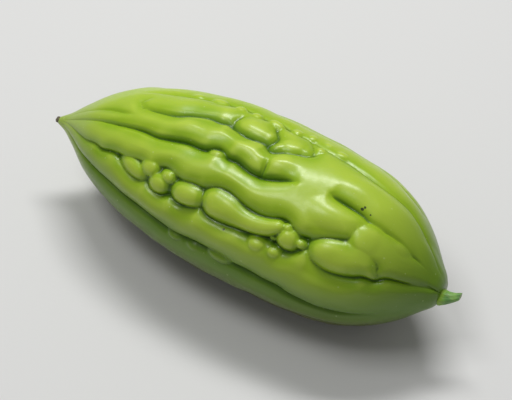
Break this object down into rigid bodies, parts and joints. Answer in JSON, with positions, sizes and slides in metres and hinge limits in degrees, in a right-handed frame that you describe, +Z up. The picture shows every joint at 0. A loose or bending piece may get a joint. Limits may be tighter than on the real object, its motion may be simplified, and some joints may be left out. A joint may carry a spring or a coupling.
{
  "type": "bitter gourd",
  "caption": "Whole bitter gourd with rounded ribs, creased furrows and rows of warts, its stalk cut short, lying on its side.",
  "frame": {"origin": "On the surface that the gourd lies on, under the middle of its bounding box.", "axes": "+X runs along the gourd from the blossom scar on its nose to the cut stalk, +Z is up, -Y is the side that the picture shows."},
  "size_m": [0.1942, 0.0734, 0.0751],
  "materials": {
    "fruit_skin": "waxy, glossy, pale yellow-green plant skin",
    "stalk_skin": "satin, dark green plant stalk with a paler cut end",
    "dry_scar": "matte, dry and brown"
  },
  "bodies": {
    "root": {"fruit": "fruit_skin", "stalk": "stalk_skin", "blossom_scar": "dry_scar"}
  },
  "joints": []
}
